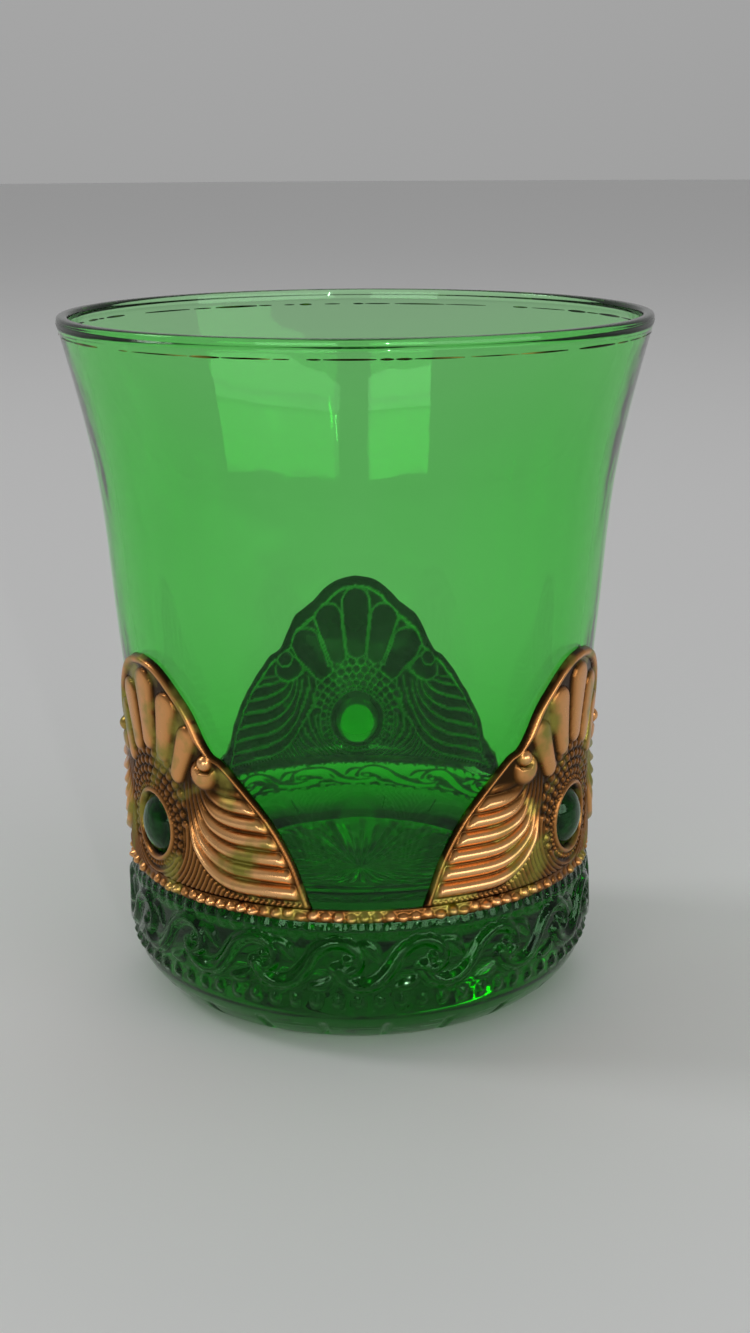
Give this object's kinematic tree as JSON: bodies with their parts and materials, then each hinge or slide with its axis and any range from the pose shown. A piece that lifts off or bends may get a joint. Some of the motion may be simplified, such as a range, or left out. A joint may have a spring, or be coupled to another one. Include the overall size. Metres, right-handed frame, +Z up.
{
  "type": "shot glass",
  "caption": "Flared green pressed-glass shot glass with gilded relief medallions, each with a round glass jewel, over a scroll band and a rayed foot.",
  "frame": {"origin": "centre of the foot, on the surface the glass stands on", "axes": "+Z up along the glass's axis; the front is -Y, midway between the left and right medallions; +X is to the right seen from the front"},
  "size_m": [0.051, 0.051, 0.0598],
  "materials": {
    "green_glass": "clear emerald green pressed glass, fire-polished",
    "jewel_glass": "the same green glass, in polished domes",
    "fired_gold": "satin fired gold, reddish on the high points and olive in the grooves",
    "worn_gold": "worn fired gold line"
  },
  "bodies": {
    "root": {"glass_body": "green_glass", "jewel_left": "jewel_glass", "jewel_right": "jewel_glass", "jewel_back": "jewel_glass", "gilt_panel_left": "fired_gold", "gilt_panel_right": "fired_gold", "gilt_panel_back": "fired_gold", "gilt_bead_line": "fired_gold", "gilt_rim_line": "worn_gold"}
  },
  "joints": []
}
